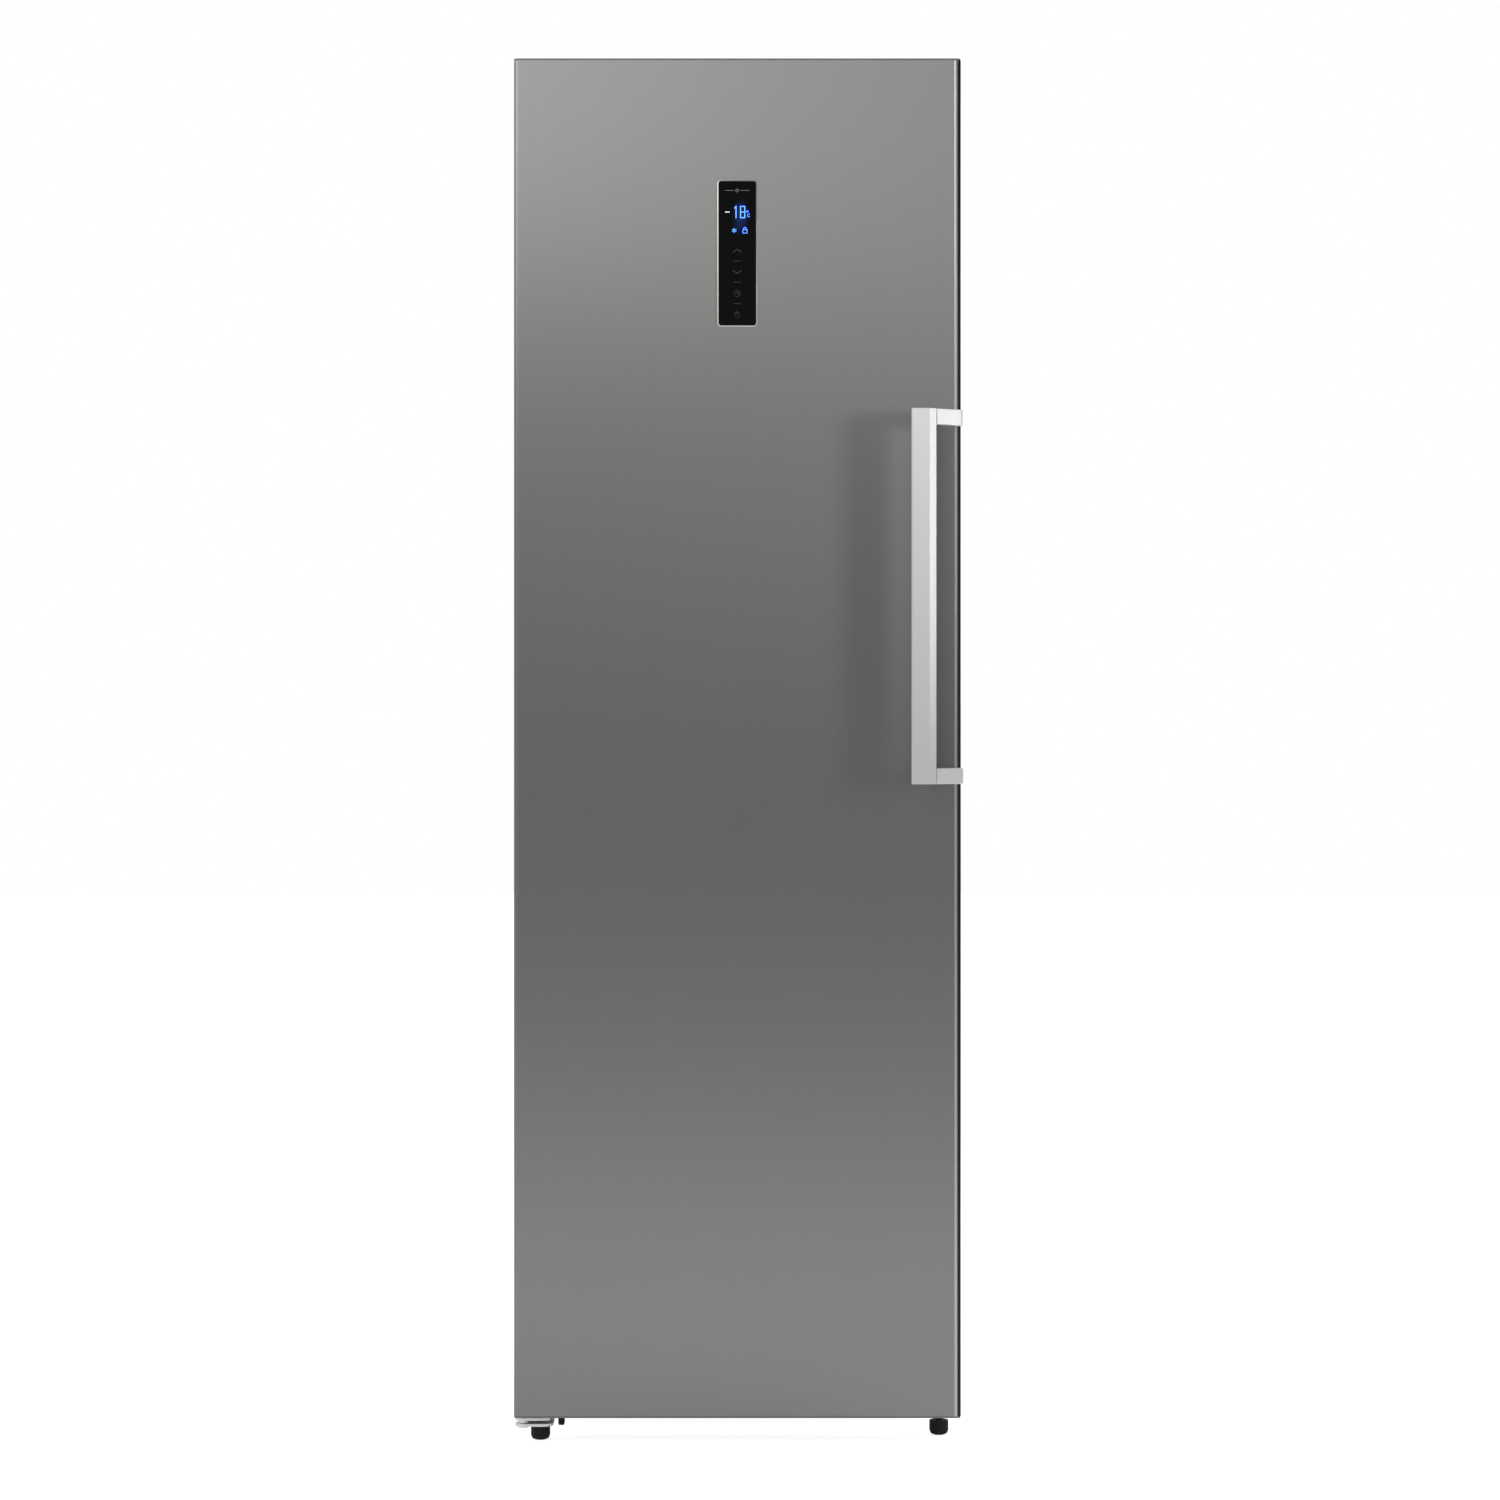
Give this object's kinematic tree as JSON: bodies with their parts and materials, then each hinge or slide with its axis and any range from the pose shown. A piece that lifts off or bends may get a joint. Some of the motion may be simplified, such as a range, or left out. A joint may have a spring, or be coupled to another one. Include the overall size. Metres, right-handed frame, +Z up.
{
  "type": "upright freezer",
  "caption": "Tall free-standing freezer with one hinged steel door, side handle, touch panel, pull-out drawers and a rear compressor compartment.",
  "frame": {"origin": "on the floor under the middle of the freezer, halfway between the handle's front and the back panel", "axes": "+X to the right seen from the front, +Y to the back, +Z up"},
  "size_m": [0.598, 0.695, 1.855],
  "materials": {
    "brushed_door_steel": "upright brushed stainless steel with a satin sheen",
    "side_paint": "silver grey powder paint, satin",
    "zinc_steel": "zinc plated sheet steel",
    "handle_metal": "brushed and silver lacquered metal",
    "black_glass": "gloss black touch panel with lit digits",
    "dark_plastic": "moulded dark grey plastic",
    "grey_plastic": "moulded grey plastic",
    "white_plastic": "white polystyrene, half gloss",
    "clear_plastic": "clear moulded plastic",
    "shelf_glass": "tempered glass",
    "gasket_rubber": "soft grey magnetic seal",
    "black_rubber": "black rubber, matt",
    "black_paint": "black enamel, satin",
    "copper": "drawn copper tube",
    "fin_aluminium": "bare aluminium",
    "circuit_board": "green lacquered circuit board",
    "foam": "rigid polyurethane foam"
  },
  "bodies": {
    "cabinet": {"cabinet_wrapper": "side_paint", "back_panel": "side_paint", "base_deck": "zinc_steel", "compressor_plate": "zinc_steel", "insulation_foam": "foam", "inner_liner": "white_plastic", "drawer_rails_left": "white_plastic", "drawer_rails_right": "white_plastic", "glass_shelf": "shelf_glass", "led_lamp": "clear_plastic", "evaporator_cover": "white_plastic", "evaporator": "fin_aluminium", "defrost_heater": "fin_aluminium", "fan_motor": "white_plastic", "compressor": "black_paint", "compressor_relay_cover": "dark_plastic", "suction_pipe": "copper", "discharge_pipe": "copper", "condenser_coil": "copper", "filter_drier": "copper", "drain_hose": "grey_plastic", "evaporation_tray": "dark_plastic", "electronics_box": "grey_plastic", "cord_gland": "black_rubber", "upper_hinge_bracket": "zinc_steel", "upper_hinge_pin": "zinc_steel", "hinge_cover": "dark_plastic", "lower_hinge_bracket": "zinc_steel", "lower_hinge_pin": "zinc_steel"},
    "door": {"door_skin": "brushed_door_steel", "door_foam": "foam", "door_inner_panel": "white_plastic", "door_gasket": "gasket_rubber", "door_top_cap": "dark_plastic", "door_bottom_cap": "dark_plastic", "door_stop": "black_rubber", "panel_frame": "handle_metal", "panel_glass": "black_glass", "display_board": "circuit_board", "handle_bar": "handle_metal", "handle_bracket_upper": "handle_metal", "handle_bracket_lower": "handle_metal"},
    "fan": {"evaporator_fan": "grey_plastic"},
    "left_roller": {"roller_left": "dark_plastic"},
    "right_roller": {"roller_right": "dark_plastic"},
    "left_foot": {"foot_left": "black_rubber"},
    "right_foot": {"foot_right": "black_rubber"},
    "drawer_1": {"drawer_1_basket": "white_plastic", "drawer_1_front": "clear_plastic"},
    "drawer_2": {"drawer_2_basket": "white_plastic", "drawer_2_front": "clear_plastic"},
    "drawer_3": {"drawer_3_basket": "white_plastic", "drawer_3_front": "clear_plastic"},
    "drawer_4": {"drawer_4_basket": "white_plastic", "drawer_4_front": "clear_plastic"},
    "drawer_5": {"drawer_5_basket": "white_plastic", "drawer_5_front": "clear_plastic"},
    "drawer_6": {"drawer_6_basket": "white_plastic", "drawer_6_front": "clear_plastic"}
  },
  "joints": [
    {"name": "door_hinge", "type": "hinge", "parent": "cabinet", "child": "door", "pos_m": [-0.2855, -0.2825, 0.94], "axis": [0, 0, -1], "range_deg": [0, 115]},
    {"name": "drawer_1_slide", "type": "slide", "parent": "cabinet", "child": "drawer_1", "axis": [0, -1, 0], "range_m": [0, 0.3]},
    {"name": "drawer_2_slide", "type": "slide", "parent": "cabinet", "child": "drawer_2", "axis": [0, -1, 0], "range_m": [0, 0.3]},
    {"name": "drawer_3_slide", "type": "slide", "parent": "cabinet", "child": "drawer_3", "axis": [0, -1, 0], "range_m": [0, 0.3]},
    {"name": "drawer_4_slide", "type": "slide", "parent": "cabinet", "child": "drawer_4", "axis": [0, -1, 0], "range_m": [0, 0.3]},
    {"name": "drawer_5_slide", "type": "slide", "parent": "cabinet", "child": "drawer_5", "axis": [0, -1, 0], "range_m": [0, 0.3]},
    {"name": "drawer_6_slide", "type": "slide", "parent": "cabinet", "child": "drawer_6", "axis": [0, -1, 0], "range_m": [0, 0.3]},
    {"name": "fan_spin", "type": "hinge", "parent": "cabinet", "child": "fan", "pos_m": [0, 0.2435, 0.7], "axis": [0, 1, 0], "continuous": true},
    {"name": "left_roller_spin", "type": "hinge", "parent": "cabinet", "child": "left_roller", "pos_m": [-0.2735, 0.3055, 0.015], "axis": [1, 0, 0], "continuous": true},
    {"name": "right_roller_spin", "type": "hinge", "parent": "cabinet", "child": "right_roller", "pos_m": [0.2735, 0.3055, 0.015], "axis": [1, 0, 0], "continuous": true},
    {"name": "left_foot_screw", "type": "hinge", "parent": "cabinet", "child": "left_foot", "pos_m": [-0.264, -0.2575, 0.015], "axis": [0, 0, 1], "continuous": true},
    {"name": "right_foot_screw", "type": "hinge", "parent": "cabinet", "child": "right_foot", "pos_m": [0.272, -0.2205, 0.015], "axis": [0, 0, 1], "continuous": true}
  ],
  "couplings": [
    {"joint": "drawer_1_slide", "follows": "door_hinge", "m_per_rad": 0.09},
    {"joint": "drawer_2_slide", "follows": "door_hinge", "m_per_rad": 0.09},
    {"joint": "drawer_3_slide", "follows": "door_hinge", "m_per_rad": 0.09},
    {"joint": "drawer_4_slide", "follows": "door_hinge", "m_per_rad": 0.09},
    {"joint": "drawer_5_slide", "follows": "door_hinge", "m_per_rad": 0.09},
    {"joint": "drawer_6_slide", "follows": "door_hinge", "m_per_rad": 0.09}
  ]
}
